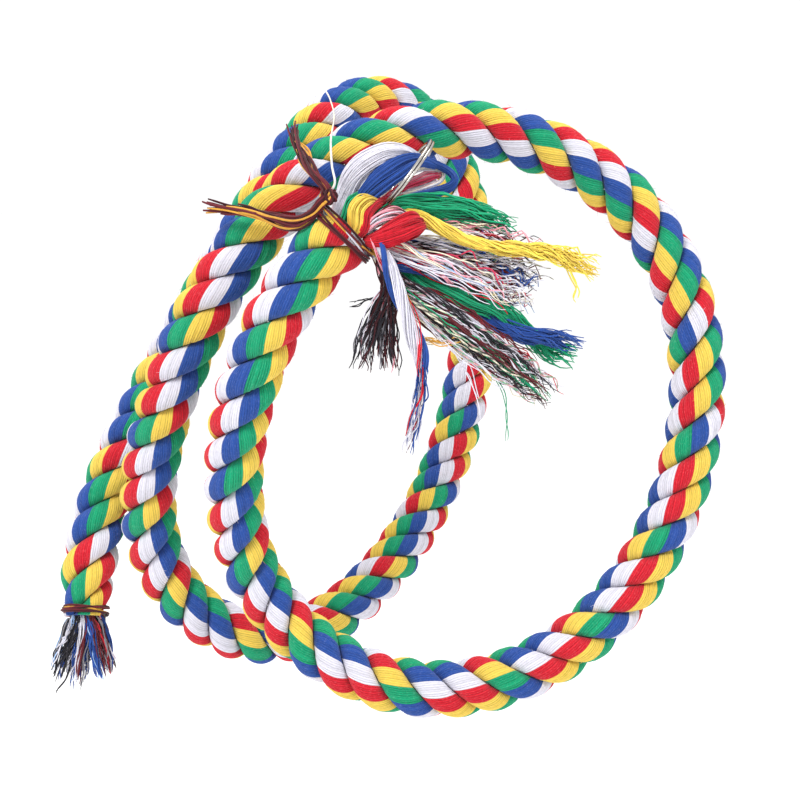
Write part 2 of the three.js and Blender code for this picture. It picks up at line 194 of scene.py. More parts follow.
def through(points, u):
    """A smooth curve through points, at u from 0 to 1."""
    p = np.array(points, float)
    p = np.vstack([2 * p[0] - p[1], p, 2 * p[-1] - p[-2]])
    n = len(p) - 3
    x = np.clip(u, 0, 1) * n
    i = np.minimum(x.astype(int), n - 1)
    t = (x - i)[..., None]
    a, b, c, d = p[i], p[i + 1], p[i + 2], p[i + 3]
    return 0.5 * (2 * b + (c - a) * t + (2 * a - 5 * b + 4 * c - d) * t**2 + (3 * b - a - 3 * c + d) * t**3)


# ---- meshes ---------------------------------------------------------------------------
def make_mesh(name, points, corners, starts, totals, material, uv=None, tint=None, sharp=None):
    """points in millimetres, among the rope's points."""
    me = bpy.data.meshes.new(name)
    me.vertices.add(len(points))
    me.vertices.foreach_set("co", ((np.asarray(points, np.float64) - RING_AT) * MM).astype(np.float32).ravel())
    me.loops.add(len(corners))
    me.loops.foreach_set("vertex_index", np.asarray(corners, np.int32))
    me.polygons.add(len(starts))
    me.polygons.foreach_set("loop_start", np.asarray(starts, np.int32))
    me.polygons.foreach_set("loop_total", np.asarray(totals, np.int32))
    me.update(calc_edges=True)
    me.polygons.foreach_set("use_smooth", np.ones(len(starts), bool))
    if uv is not None:
        layer = me.uv_layers.new(name="yarn")
        layer.uv.foreach_set("vector", np.asarray(uv, np.float32).ravel())
    if tint is not None:
        layer = me.color_attributes.new("tint", "FLOAT_COLOR", "POINT")
        rgba = np.concatenate([tint, np.ones((len(tint), 1))], 1).astype(np.float32)
        layer.data.foreach_set("color", rgba.ravel())
    if sharp is not None:
        ends = np.empty(len(me.edges) * 2, np.int32)
        me.edges.foreach_get("vertices", ends)
        flags = sharp[ends.reshape(-1, 2)]
        hard = (flags[:, 0] > 0) & (flags[:, 0] == flags[:, 1])
        attribute = me.attributes.get("sharp_edge") or me.attributes.new("sharp_edge", "BOOLEAN", "EDGE")
        attribute.data.foreach_set("value", hard)
    me.materials.append(material)
    me.update()
    ob = bpy.data.objects.new(name, me)
    bpy.context.scene.collection.objects.link(ob)
    return ob


class Threads:
    """Closed round threads gathered into one mesh."""

    def __init__(self):
        self.points, self.corners, self.totals, self.uv, self.tint, self.sharp, self.count = [], [], [], [], [], [], 0

    def add(self, paths, radius, colours, sides=5):
        """paths (threads, rings, 3) in millimetres, radius (threads, rings), colours (threads, 3) or one for each point."""
        paths = np.asarray(paths, float)
        n, m, _ = paths.shape
        radius = np.broadcast_to(np.asarray(radius, float).reshape(n, -1), (n, m))
        tangent = unit(np.gradient(paths, axis=1))
        away = np.eye(3)[np.argmin(np.abs(tangent.mean(1)), 1)]
        frame_n = np.zeros_like(paths)
        for i in range(m):
            away = unit(away - tangent[:, i] * (away * tangent[:, i]).sum(-1, keepdims=True))
            frame_n[:, i] = away
        frame_b = np.cross(tangent, frame_n)
        angle = 2 * np.pi * np.arange(sides) / sides
        ring = (
            paths[:, :, None]
            + radius[:, :, None, None] * (np.cos(angle)[:, None] * frame_n[:, :, None] + np.sin(angle)[:, None] * frame_b[:, :, None])
        )
        base = self.count + np.arange(n)[:, None, None] * m * sides + np.arange(m)[None, :, None] * sides + np.arange(sides)[None, None]
        after = np.roll(base, -1, axis=2)
        quads = np.stack([base[:, :-1], after[:, :-1], after[:, 1:], base[:, 1:]], -1)
        lengths = np.concatenate([np.zeros((n, 1)), np.cumsum(np.linalg.norm(np.diff(paths, axis=1), axis=-1), 1)], 1)
        v = np.stack([lengths[:, :-1], lengths[:, :-1], lengths[:, 1:], lengths[:, 1:]], -1)[:, :, None, :] * np.ones((1, 1, sides, 1))
        a = np.arange(sides) / sides
        u = np.stack([a, a + 1 / sides, a + 1 / sides, a], -1)[None, None] * np.ones((n, m - 1, 1, 1))
        self.corners.append(quads.reshape(-1))
        self.totals.append(np.full(n * (m - 1) * sides, 4))
        self.uv.append(np.stack([u, v], -1).reshape(-1, 2))
        for end, turn in ((base[:, 0], slice(None, None, -1)), (base[:, -1], slice(None))):
            self.corners.append(end[:, turn].reshape(-1))
            self.totals.append(np.full(n, sides))
            self.uv.append(np.zeros((n * sides, 2)))
        self.points.append(ring.reshape(-1, 3))
        tint = np.asarray(colours, float)
        self.tint.append(np.repeat(tint, m * sides, 0) if tint.ndim == 2 else tint.reshape(-1, 3))
        flags = np.zeros((n, m, sides), int)
        flags[:, 0], flags[:, -1] = 1, 2
        self.sharp.append(flags.reshape(-1))
        self.count += n * m * sides

    def build(self, name, material):
        totals = np.concatenate(self.totals)
        starts = np.concatenate([[0], np.cumsum(totals)[:-1]])
        return make_mesh(
            name, np.concatenate(self.points), np.concatenate(self.corners), starts, totals, material,
            np.concatenate(self.uv), np.concatenate(self.tint), np.concatenate(self.sharp),
        )


# ---- materials ------------------------------------------------------------------------
class Nodes:
    def __init__(self, name):
        self.material = bpy.data.materials.new(name)
        self.material.use_nodes = True
        self.tree = self.material.node_tree
        self.shader = next(n for n in self.tree.nodes if n.type == "BSDF_PRINCIPLED")

    def add(self, kind, **values):
        node = self.tree.nodes.new(kind)
        for key, value in values.items():
            setattr(node, key, value)
        return node

    def link(self, a, b):
        self.tree.links.new(a, b)

    def math(self, operation, a, b=None):
        node = self.add("ShaderNodeMath", operation=operation)
        for socket, value in zip(node.inputs, (a, b)):
            if value is None:
                continue
            if isinstance(value, (int, float)):
                socket.default_value = value
            else:
                self.link(value, socket)
        return node.outputs[0]


def soft_finish(shader):
    shader.inputs["Roughness"].default_value = 0.92
    shader.inputs["Specular IOR Level"].default_value = 0.18
    shader.inputs["Sheen Weight"].default_value = 0.12
    shader.inputs["Sheen Roughness"].default_value = 0.5


def rope_material():
    m = Nodes("rope_cotton")
    uv = m.add("ShaderNodeUVMap", uv_map="yarn")
    split = m.add("ShaderNodeSeparateXYZ")
    m.link(uv.outputs[0], split.inputs[0])
    u, v = split.outputs[0], split.outputs[1]
    ramp = m.add("ShaderNodeValToRGB")
    ramp.color_ramp.interpolation = "CONSTANT"
    while len(ramp.color_ramp.elements) < 5:
        ramp.color_ramp.elements.new(0.5)
    for i, (element, colour) in enumerate(zip(ramp.color_ramp.elements, BANDS)):
        element.position = i / 5
        element.color = (*colour, 1)
    m.link(u, ramp.inputs[0])
    # each yarn is a little lighter or darker, and so are the fibres along it
    each = m.add("ShaderNodeTexWhiteNoise", noise_dimensions="1D")
    m.link(m.math("FLOOR", m.math("MULTIPLY", u, YARNS)), each.inputs["W"])
    place = m.add("ShaderNodeCombineXYZ")
    m.link(m.math("MULTIPLY", u, 330.0), place.inputs[0])
    m.link(m.math("MULTIPLY", v, 700.0), place.inputs[1])
    fibre = m.add("ShaderNodeTexNoise", noise_dimensions="2D")
    fibre.inputs["Scale"].default_value = 1.0
    fibre.inputs["Detail"].default_value = 4.0
    m.link(place.outputs[0], fibre.inputs["Vector"])
    # painted shade: a dark line in the valley between neighbouring yarns, deeper at some than at others
    across = m.math("FRACT", m.math("MULTIPLY", u, YARNS))
    edge = m.math("POWER", m.math("ABSOLUTE", m.math("SUBTRACT", m.math("MULTIPLY", across, 2.0), 1.0)), 3.0)
    groove_shade_depth = m.add("ShaderNodeTexWhiteNoise", noise_dimensions="1D")
    m.link(m.math("ADD", m.math("ROUND", m.math("MULTIPLY", u, YARNS)), 91.7), groove_shade_depth.inputs["W"])
    dark = m.math("MULTIPLY", edge, m.math("ADD", m.math("MULTIPLY", groove_shade_depth.outputs["Value"], 0.42), 0.12))
    value = m.math("ADD", m.math("MULTIPLY", each.outputs["Value"], 0.20), m.math("MULTIPLY", fibre.outputs["Fac"], 0.62))
    # the yarn's colour, lighter or darker by yarn and by fibre, less the painted valley shade
    hue = m.add("ShaderNodeHueSaturation")
    m.link(m.math("SUBTRACT", m.math("ADD", value, 0.66), dark), hue.inputs["Value"])
    m.link(ramp.outputs[0], hue.inputs["Color"])
    # painted highlight: pale flecks for the glints of cut fibres, mixed over the yarn's colour
    painted_glint = m.add("ShaderNodeMapRange")
    painted_glint.inputs["From Min"].default_value, painted_glint.inputs["From Max"].default_value = 0.60, 0.80
    painted_glint.inputs["To Max"].default_value = 0.16
    m.link(fibre.outputs["Fac"], painted_glint.inputs["Value"])
    glint_mix = m.add("ShaderNodeMix", data_type="RGBA")
    mix = {s.identifier: s for s in glint_mix.inputs}
    mix["B_Color"].default_value = (0.80, 0.80, 0.82, 1)
    m.link(painted_glint.outputs[0], mix["Factor_Float"])
    m.link(hue.outputs[0], mix["A_Color"])
    m.link(next(s for s in glint_mix.outputs if s.identifier == "Result_Color"), m.shader.inputs["Base Color"])
    bump = m.add("ShaderNodeBump")
    bump.inputs["Strength"].default_value = 0.6
    bump.inputs["Distance"].default_value = 0.0003
    m.link(fibre.outputs["Fac"], bump.inputs["Height"])
    m.link(bump.outputs[0], m.shader.inputs["Normal"])
    soft_finish(m.shader)
    return m.material


def thread_material(name):
    m = Nodes(name)
    tint = m.add("ShaderNodeAttribute", attribute_name="tint")
    uv = m.add("ShaderNodeUVMap", uv_map="yarn")
    split = m.add("ShaderNodeSeparateXYZ")
    m.link(uv.outputs[0], split.inputs[0])
    place = m.add("ShaderNodeCombineXYZ")
    m.link(m.math("MULTIPLY", split.outputs[0], 4.0), place.inputs[0])
    m.link(m.math("MULTIPLY", split.outputs[1], 0.6), place.inputs[1])
    fibre = m.add("ShaderNodeTexNoise", noise_dimensions="2D")
    fibre.inputs["Scale"].default_value = 1.0
    fibre.inputs["Detail"].default_value = 2.0
    m.link(place.outputs[0], fibre.inputs["Vector"])
    hue = m.add("ShaderNodeHueSaturation")
    m.link(m.math("ADD", m.math("MULTIPLY", fibre.outputs["Fac"], 0.5), 0.75), hue.inputs["Value"])
    m.link(tint.outputs["Color"], hue.inputs["Color"])
    m.link(hue.outputs[0], m.shader.inputs["Base Color"])
    soft_finish(m.shader)
    return m.material


def steel_material(name, colour, roughness):
    m = Nodes(name)
    m.shader.inputs["Base Color"].default_value = (*colour, 1)
    m.shader.inputs["Metallic"].default_value = 1.0
    noise = m.add("ShaderNodeTexNoise")
    noise.inputs["Scale"].default_value = 900.0
    m.link(m.math("ADD", m.math("MULTIPLY", noise.outputs["Fac"], 0.08), roughness), m.shader.inputs["Roughness"])
    return m.material


ROPE = rope_material()
THREAD = thread_material("loose_cotton")
TIE = thread_material("tie_thread")
RING = steel_material("polished_steel", srgb(182, 178, 173), 0.16)
WIRE = steel_material("dull_wire", srgb(150, 152, 154), 0.42)


def shaded(colours, rng, spread=0.12):
    c = np.asarray(colours, float)
    return np.clip(c * (1 + spread * rng.normal(size=(len(c), 1))), 0.002, 0.95)


def noise_along(rng, n, m, amplitude, waves=3):
    """Smooth sideways wander, zero at the start, (n, m, 3)."""
    q = np.linspace(0, 1, m)
    out = np.zeros((n, m, 3))
    for k in range(1, waves + 1):
        a = rng.normal(size=(n, 1, 3)) * amplitude / k
        f = rng.uniform(0.5, 1.2, (n, 1, 1)) * k
        p = rng.uniform(0, 2 * np.pi, (n, 1, 3))
        wave = np.sin(2 * np.pi * f * q[None, :, None] + p) - np.sin(p)
        out += a * wave
    return out * np.minimum(1, q / 0.25)[None, :, None]


# ---- cords: the tie's two tails and the white thread -----------------------------------
def line_of(node, steps=60):
    """From the knot's skin along the cord, evenly spaced."""
    rows = np.array(CORD_LINES[node])
    rows = np.vstack([KNOT_AT + 1.4 * unit(rows[0] - KNOT_AT), rows])
    fine = through(rows, np.linspace(0, 1, 400))
    far = np.concatenate([[0], np.cumsum(np.linalg.norm(np.diff(fine, axis=0), axis=1))])
    return np.stack([np.interp(np.linspace(0, far[-1], steps), far, fine[:, j]) for j in range(3)], -1)


def cord_piece(node, piece, slot, layout, diameter, seed, thread_radius, wander=0.0):
    """layout: for each thread its share of the radius, angle, colour, reach and bow, which is how far
    it stands off sideways and upwards between two shares of the cord's length."""
    rng = np.random.default_rng(seed)
    centre = line_of(node)
    tangent = unit(np.gradient(centre, axis=0))
    deep = np.array([0.0, 1.0, 0.0])
    deep = unit(deep - tangent * (tangent @ deep)[:, None])
    wide = np.cross(deep, tangent)
    whole = np.linspace(0, 1, len(centre))
    radius = diameter / 2 - thread_radius
    threads, paths, colours = Threads(), [], []
    for i, (share, angle, colour, reach, bow) in enumerate(layout):
        q = whole * reach
        c, w, d = (np.stack([np.interp(q, whole, t[:, j]) for j in range(3)], -1) for t in (centre, wide, deep))
        a = angle + 2.2 * q + 0.25 * np.sin(2 * np.pi * (q * 1.5 + i * 0.37))
        r = share * radius * (1 + 0.9 * np.clip((q - 0.82) / 0.18, 0, 1) ** 1.5)
        side, lift, start, stop = bow
        swell = np.sin(np.pi * np.clip((q - start) / (stop - start), 0, 1))[:, None]
        paths.append(c + r[:, None] * (np.cos(a)[:, None] * w + np.sin(a)[:, None] * d) + swell * (side * w + [0, 0, lift]))
        colours.append(colour)
    paths = np.array(paths) + noise_along(rng, len(paths), len(centre), wander)
    size = thread_radius * rng.uniform(0.8, 1.15, (len(paths), 1)) if wander else thread_radius * np.ones((len(paths), 1))
    taper = np.where(whole > 0.94, 1 - 0.35 * (whole - 0.94) / 0.06, 1.0)
    threads.add(paths, size * taper[None], shaded(colours, rng, 0.14), 6)
    ob = threads.build(piece, TIE if slot == "tie_thread" else THREAD)
    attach(ob, "coil_1")
    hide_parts(node)
    return ob


STRAIGHT = (0.0, 0.0, 0.0, 1.0)
cord_piece(
    "tie_tail_left", "tie_tail_left_threads", "tie_thread", [
        (0.9, 0.0, MAROON, 1.0, STRAIGHT), (0.9, 0.8, GOLD, 1.0, STRAIGHT), (0.9, 1.6, MAROON, 1.0, STRAIGHT),
        (0.9, 2.4, GOLD, 0.95, STRAIGHT), (0.9, 3.2, MAROON, 1.0, STRAIGHT), (0.9, 4.0, GOLD, 0.6, STRAIGHT),
        (0.9, 4.8, UMBER, 1.0, STRAIGHT), (0.9, 5.5, MAROON, 1.0, STRAIGHT), (0.3, 1.0, UMBER, 1.0, STRAIGHT),
        (0.4, 4.2, MAROON, 1.0, STRAIGHT), (0.6, 0.4, GOLD, 0.90, STRAIGHT),
        (0.5, 0.5, UMBER, 0.72, (0, -2.4, 0, 0.6)), (0.7, 1.9, MAROON, 0.78, (0, -2.6, 0, 0.62)),
        (0.4, 3.4, UMBER, 0.66, (0, -2.9, 0, 0.55)), (0.5, 5.0, MAROON, 0.70, (0, -2.2, 0, 0.65)),
        (0.6, 2.6, GOLD, 0.74, (0, -1.8, 0, 0.6)),
        (0.4, 1.2, MAROON, 0.76, (0, 2.6, 0.5, 1.05)), (0.5, 2.2, UMBER, 0.74, (0, 2.3, 0.5, 1.0)),
        (0.4, 4.4, MAROON, 0.88, (0, -2.5, 0.6, 1.2)), (0.5, 5.2, MAROON, 0.86, (0, -2.1, 0.6, 1.2)),
        (0.8, 0.2, MAROON, 0.97, STRAIGHT), (0.7, 2.9, UMBER, 1.0, STRAIGHT), (0.6, 3.7, GOLD, 0.84, STRAIGHT)],
    3.9, 11, 0.42, 0.24)
cord_piece(
    "tie_tail_up", "tie_tail_up_threads", "tie_thread", [
        (0.9, 0.0, MAROON, 1.0, STRAIGHT), (0.9, 0.8, UMBER, 1.0, STRAIGHT), (0.9, 1.6, MAROON, 1.0, STRAIGHT),
        (0.9, 2.4, GOLD, 0.62, STRAIGHT), (0.9, 3.2, MAROON, 1.0, STRAIGHT), (0.9, 4.0, UMBER, 1.0, STRAIGHT),
        (0.9, 4.8, MAROON, 0.95, STRAIGHT), (0.9, 5.5, MAROON, 1.0, STRAIGHT), (0.3, 1.0, UMBER, 1.0, STRAIGHT),
        (0.4, 4.0, MAROON, 1.0, STRAIGHT),
        (0.3, 0.6, GOLD, 0.76, (3.2, 0.0, 0.22, 0.8)), (0.3, 2.1, GOLD, 0.74, (3.0, 0.0, 0.2, 0.76)),
        (0.3, 3.9, UMBER, 0.66, (2.2, 0.0, 0.06, 0.7)), (0.4, 5.0, GOLD, 0.7, (2.4, 0.0, 0.18, 0.74)),
        (0.4, 5.6, MAROON, 0.62, (1.9, 0.0, 0.1, 0.66)), (0.3, 1.4, GOLD, 0.78, (3.5, 0.0, 0.24, 0.82)),
        (0.7, 2.6, UMBER, 0.97, STRAIGHT)],
    3.6, 12, 0.38, 0.2)
cord_piece("white_thread", "white_thread_ply", "white_yarn",
           [(1.0, 0.0, WHITE, 1.0, STRAIGHT), (1.0, math.pi, CREAM, 1.0, STRAIGHT)], 0.8, 13, 0.21)


# ---- the rope's three strands ----------------------------------------------------------
def strand_outline():
    """Outline of a strand as (fraction of the perimeter from the crown, x outwards, y sideways)."""
    psi = np.radians(np.linspace(0, 59.2, 140))
    rho = ROPE_RADIUS + 0.1 - 2.9 * (psi / np.radians(60)) ** 2 - 1.8 * (psi / np.radians(60)) ** 8
    face = np.stack([rho * np.cos(psi), rho * np.sin(psi)], -1)
    inner = np.array([2.4, 0.0])
    flank = face[-1] + (inner - face[-1]) * np.linspace(0, 1, 60)[1:, None]
    half = np.vstack([face, flank])
    whole = np.vstack([half, (half[::-1] * [1, -1])[1:]])
    away = np.concatenate([[0], np.cumsum(np.linalg.norm(np.diff(whole, axis=0), axis=1))])
    fraction = away / away[-1]
    # outward direction, eased over the corners
    d = np.gradient(whole, axis=0)
    out = unit(np.stack([d[:, 1], -d[:, 0]], -1))
    return fraction, whole, out, away[-1]


FRACTION, OUTLINE, OUTWARD, PERIMETER = strand_outline()
rope_rng = np.random.default_rng(3)


def drawn_in(s):
    """How much wider or narrower the rope is at its two bound ends."""
    return 1 + FLARE * np.exp(-((s / 14.0) ** 2)) - WAIST * np.exp(-(((LENGTH - s - TIE_AT) / 8.0) ** 2))


def strand_grid(k):
    rows = 2 * SEGMENTS * ROWS_PER_HALF + 1
    s = np.linspace(0, LENGTH, rows)
    at, t, n, b = rope_frame(s)
    phase = 2 * np.pi * k / 3
    turn_of_strand = lay_turn(s) + phase
    roll = drift(s, YARN_ROLL[k])
    column = np.arange(COLUMNS)
    # the yarns turn back twice for each turn of their strand, so they run along the rope
    angle = 72 * (5 * column[None] / COLUMNS - roll[:, None]) - 2 * np.degrees(2 * np.pi * s / LAY_LENGTH + phase)[:, None]
    f = np.mod(angle / 360, 1)
    x, y = np.interp(f, FRACTION, OUTLINE[:, 0]), np.interp(f, FRACTION, OUTLINE[:, 1])
    ox, oy = np.interp(f, FRACTION, OUTWARD[:, 0]), np.interp(f, FRACTION, OUTWARD[:, 1])
    crest = np.where(column % PER_YARN, 0.10, -0.16) + np.repeat(rope_rng.normal(0, 0.045, YARNS), PER_YARN)
    valley = np.repeat(rope_rng.uniform(-0.22, 0.02, YARNS), PER_YARN)
    crest = np.where(column % PER_YARN == 0, crest + valley, crest)
    crest = np.where((column % (COLUMNS // 5) == 0), -0.38, crest)
    slack = np.zeros((rows, COLUMNS))
    for wave in (35.0, 80.0, 190.0):
        p = np.repeat(rope_rng.uniform(0, 2 * np.pi, YARNS), PER_YARN)
        slack += 0.04 * np.sin(2 * np.pi * s[:, None] / wave + p[None])
    up = crest[None] + slack
    up = np.where(np.abs(f - 0.5) < 0.19, 0.0, up)          # flat where it lies on its neighbours
    x, y = x + ox * up, y + oy * up
    x, y = x * drawn_in(s)[:, None], y * drawn_in(s)[:, None]
    c, d = np.cos(turn_of_strand)[:, None], np.sin(turn_of_strand)[:, None]
    along_n, along_b = x * c - y * d, x * d + y * c
    points = at[:, None] + along_n[..., None] * n[:, None] + along_b[..., None] * b[:, None]
    middle = at + 6.0 * (np.cos(turn_of_strand)[:, None] * n + np.sin(turn_of_strand)[:, None] * b)
    return s, points, middle, at, t, np.abs(f - 0.5) > 0.27


def fibres(points, axis, way, open_face, n, seed):
    """Short loose fibres that stand off the open face of a strand, and where each one is rooted."""
    rng = np.random.default_rng(seed)
    row, column = rng.integers(2, len(points) - 2, 4 * n), rng.integers(0, COLUMNS, 4 * n)
    keep = open_face[row, column]
    row, column = row[keep][:n], column[keep][:n]
    root = points[row, column]
    out, along = unit(root - axis[row]), way[row] * rng.choice([-1.0, 1.0], (len(row), 1))
    lean = rng.normal(0, 0.7, (len(row), 1))
    go = np.cos(lean) * along + np.sin(lean) * np.cross(out, along)
    length, rise = rng.uniform(0.7, 2.3, (len(row), 1)), rng.uniform(0.15, 0.7, (len(row), 1))
    q = np.array([0.0, 0.4, 0.75, 1.0])
    paths = root[:, None] + out[:, None] * (rise * length * (q - 0.3 * q**2) - 0.06)[..., None]
    paths = paths + go[:, None] * (0.85 * length * q**1.15)[..., None]
    threads = Threads()
    threads.add(paths, np.tile(0.045 * np.array([1, 0.9, 0.7, 0.4]), (len(row), 1)), np.zeros((len(row), 3)), 3)
    return threads, row, column


def strand_piece(name, s, points, middle, axis, way, open_face, seed):
    rows = len(points)
    base = np.arange(rows)[:, None] * COLUMNS + np.arange(COLUMNS)[None]
    after = np.roll(base, -1, axis=1)
    quads = np.stack([base[:-1], after[:-1], after[1:], base[1:]], -1)
    u = np.arange(COLUMNS) / COLUMNS
    us = np.broadcast_to(np.stack([u, u + 1 / COLUMNS, u + 1 / COLUMNS, u], -1)[None], quads.shape)
    vs = np.broadcast_to(np.stack([s[:-1], s[:-1], s[1:], s[1:]], -1)[:, None], quads.shape) * MM
    first, last = rows * COLUMNS, rows * COLUMNS + 1
    cap_a = np.stack([np.full(COLUMNS, first), after[0], base[0]], -1)
    cap_b = np.stack([np.full(COLUMNS, last), base[-1], after[-1]], -1)
    cap_u = np.stack([u + 0.5 / COLUMNS, u + 1 / COLUMNS, u], -1)
    cap_w = np.stack([u + 0.5 / COLUMNS, u, u + 1 / COLUMNS], -1)
    corners = np.concatenate([quads.reshape(-1), cap_a.reshape(-1), cap_b.reshape(-1)])
    totals = np.concatenate([np.full(quads.shape[0] * COLUMNS, 4), np.full(2 * COLUMNS, 3)])
    starts = np.concatenate([[0], np.cumsum(totals)[:-1]])
    uv = np.concatenate([
        np.stack([us, vs], -1).reshape(-1, 2),
        np.stack([cap_u, np.full_like(cap_u, s[0] * MM)], -1).reshape(-1, 2),
        np.stack([cap_w, np.full_like(cap_w, s[-1] * MM)], -1).reshape(-1, 2),
    ])
    flags = np.zeros(rows * COLUMNS + 2, int)
    flags[:COLUMNS], flags[(rows - 1) * COLUMNS : rows * COLUMNS] = 1, 2
    co = np.vstack([points.reshape(-1, 3), middle[:1], middle[-1:]])
    loose, row, column = fibres(points, axis, way, open_face, rows * 5 // 4, seed)
    ends = np.concatenate(loose.corners)
    each = ends // (4 * 3)                                    # four rings of three points a fibre
    corners = np.concatenate([corners, ends + len(co)])
    totals = np.concatenate([totals, *loose.totals])
    starts = np.concatenate([[0], np.cumsum(totals)[:-1]])
    uv = np.concatenate([uv, np.stack([(column[each] + 0.5) / COLUMNS, s[row[each]] * MM], -1)])
    flags = np.concatenate([flags, *loose.sharp])
    co = np.vstack([co, *loose.points])
    return make_mesh(name, co, corners, starts, totals, ROPE, uv, None, flags)


for k, letter in enumerate("abc"):
    s, points, middle, axis, way, open_face = strand_grid(k)
    for i in range(SEGMENTS + 1):
        lo = max(0, 2 * i - 1) * ROWS_PER_HALF
        hi = min(2 * SEGMENTS, 2 * i + 1) * ROWS_PER_HALF + 1
        cut = slice(lo, hi)
        ob = strand_piece(f"strand_{letter}_yarns_{i}", s[cut], points[cut], middle[cut], axis[cut], way[cut], open_face[cut], 500 + 20 * k + i)
        if i == 0:
            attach(ob, "coil_1")
        elif i == SEGMENTS:
            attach(ob, f"coil_{SEGMENTS}")
        else:
            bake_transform(ob)
        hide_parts(*[f"strand_{letter}_{j}" for j in (i, i + 1) if 1 <= j <= SEGMENTS])


# ---- loose yarns -----------------------------------------------------------------------
def seen(u, v, y):
    """The point y millimetres deep that shows at (u, v) of the 800-wide front picture."""
    c, d = math.cos(math.radians(10)), math.sin(math.radians(10))
    across, down = (u - 400) / 1500, (v - 400) / 1500
    ray = np.array([across, c - down * d, -d - down * c])
    return CAMERA_AT + ray * (y - CAMERA_AT[1]) / ray[1]


class Tuft(Threads):
    """The loose threads that stand for one CAD bundle."""

    def lay(self, root, route, n, radius, colours, seed, twist=0.3, wander=0.35, curl=0.0, wave=9.0,
            ends=(0.92, 1.04), splay=0.0, open_at=0.8, ply=None, rings=24, lock=0, marl=None):
        """n threads from root along (u, v, depth, half width, half depth); colours are (colour, share).
        With lock, about that many neighbours share a colour and wander together. With marl, each thread
        has a second ply, of one of those colours."""
        rng = np.random.default_rng(seed)
        rows = np.array([[*seen(u, v, y), w, d] for u, v, y, w, d in route])
        if root is not None:
            rows = np.vstack([[*root, 0.7 * rows[0, 3], 0.7 * rows[0, 4]], rows])
        fine = np.linspace(0, 1, 240)
        line = through(rows[:, :3], fine)
        far = np.concatenate([[0], np.cumsum(np.linalg.norm(np.diff(line, axis=0), axis=1))])
        length = far[-1]
        half = np.stack([np.interp(fine, np.linspace(0, 1, len(rows)), rows[:, j]) for j in (3, 4)], -1)
        way = unit(np.gradient(line, axis=0))
        deep, carried = np.zeros_like(line), np.array([0.0, 1.0, 0.0])
        for i, t in enumerate(way):
            carried = unit(carried - t * (carried @ t))
            deep[i] = carried
        wide = np.cross(deep, way)
        if ply is not None:                       # this yarn winds round its partners
            out, turns, phase = ply
            a = 2 * np.pi * turns * far / length + phase
            line = line + out * (np.cos(a)[:, None] * wide + np.sin(a)[:, None] * deep)
        at = np.linspace(0, 1, rings)[None] * (length * rng.uniform(*ends, n))[:, None]
        look_up = lambda table: np.stack([np.interp(at, far, table[:, j]) for j in range(table.shape[1])], -1)
        wide, deep, half = look_up(wide), look_up(deep), look_up(half)
        paths = look_up(line) + np.maximum(at - length, 0)[..., None] * way[-1]
        f = at / length
        share = np.sqrt((np.arange(n) + 0.5) / n)[:, None]
        angle = (np.arange(n) * 2.399963)[:, None]
        group = np.arange(n)
        if lock:
            spot = share * np.hstack([np.cos(angle), np.sin(angle)])
            heart = spot[rng.permutation(n)[: max(1, round(n / lock))]]
            group = ((spot[:, None] - heart[None]) ** 2).sum(-1).argmin(1)
        count = group.max() + 1
        spin = angle + 2 * np.pi * twist * f
        share = share * (1 + splay * np.clip((f - open_at) / (1 - open_at), 0, None) ** 1.3)
        paths = paths + (share * np.maximum(half[..., 0] - radius, 0) * np.cos(spin))[..., None] * wide
        paths = paths + (share * np.maximum(half[..., 1] - radius, 0) * np.sin(spin))[..., None] * deep
        paths = paths + noise_along(rng, count, rings, wander)[group]
        if lock:
            paths = paths + noise_along(rng, n, rings, 0.35 * wander)
        if curl:
            size = curl * np.clip((f - 0.25) / 0.75, 0, 1.3) ** 1.5 * rng.uniform(0.2, 1.7, (count, 1))[group]
            k = 2 * np.pi * at / (wave * rng.uniform(0.7, 1.5, (count, 1)))[group]
            loose = 0.6 if lock else 0.0
            paths = paths + (size * np.sin(k + rng.uniform(0, 6.28, (count, 1))[group] + loose * rng.normal(size=(n, 1))))[..., None] * wide
            paths = paths + (size * np.sin(0.8 * k + rng.uniform(0, 6.28, (count, 1))[group] + loose * rng.normal(size=(n, 1))))[..., None] * deep
        weights = np.array([w for _, w in colours], float)
        table = np.array([c for c, _ in colours], float)
        pick = np.searchsorted(np.cumsum(weights) / weights.sum(), rng.random(count) * 0.9999, side="right")[group]
        size = radius * rng.uniform(0.8, 1.2, n)
        taper = np.interp(np.linspace(0, 1, rings), [0, 0.92, 1], [1, 0.95, 0.5])
        size, colour = size[:, None] * taper[None], shaded(table[pick], rng)
        if marl is not None:
            other = shaded(np.array(marl)[rng.integers(0, len(marl), n)], rng)
            turn = at / 4.4 + rng.random((n, 1))
            size = size * (1 + 0.14 * np.cos(4 * np.pi * turn))
            mix = np.clip(0.5 + 1.5 * np.sin(2 * np.pi * (turn[..., None] + np.arange(5) / 5)), 0, 1)[..., None]
            colour = colour[:, None, None] * (1 - mix) + other[:, None, None] * mix
        self.add(paths, size, colour)

    def settle(self, node, body, slot):
        ob = self.build(node + "_threads", THREAD)
        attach(ob, body)
        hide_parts(node)


# white and blue yarns: up from the neck, through the ring and back in a loop
tuft = Tuft()
tuft.lay((-27.7, -21.3, -3.7), (
    (344, 197, -17, 3.5, 3.0), (351, 179, -17, 3.9, 3.2), (364, 164, -17, 3.9, 3.2), (384, 153, -15.5, 3.6, 3.0),
    (404, 152, -11, 2.6, 2.2), (422, 160, -6, 1.8, 1.6)), 180, 0.27, ((WHITE, 1),), 101, twist=0.12, wander=0.25, ends=(0.95, 1.0), lock=5)
tuft.lay((-26, -21.5, -5), (
    (364, 199, -18.5, 3.4, 2.8), (380, 183, -18.5, 4.3, 3.0), (395, 171, -17, 4.4, 2.8), (409, 162, -13, 3.0, 2.2),
    (421, 161, -8, 2.0, 1.8), (436, 166, -4, 1.6, 1.4)), 190, 0.27, ((BLUE, 1),), 102, twist=0.12, wander=0.25, ends=(0.97, 1.0), lock=5)
tuft.settle("yarn_white_blue", "coil_1", "white_yarn")
tuft = Tuft()
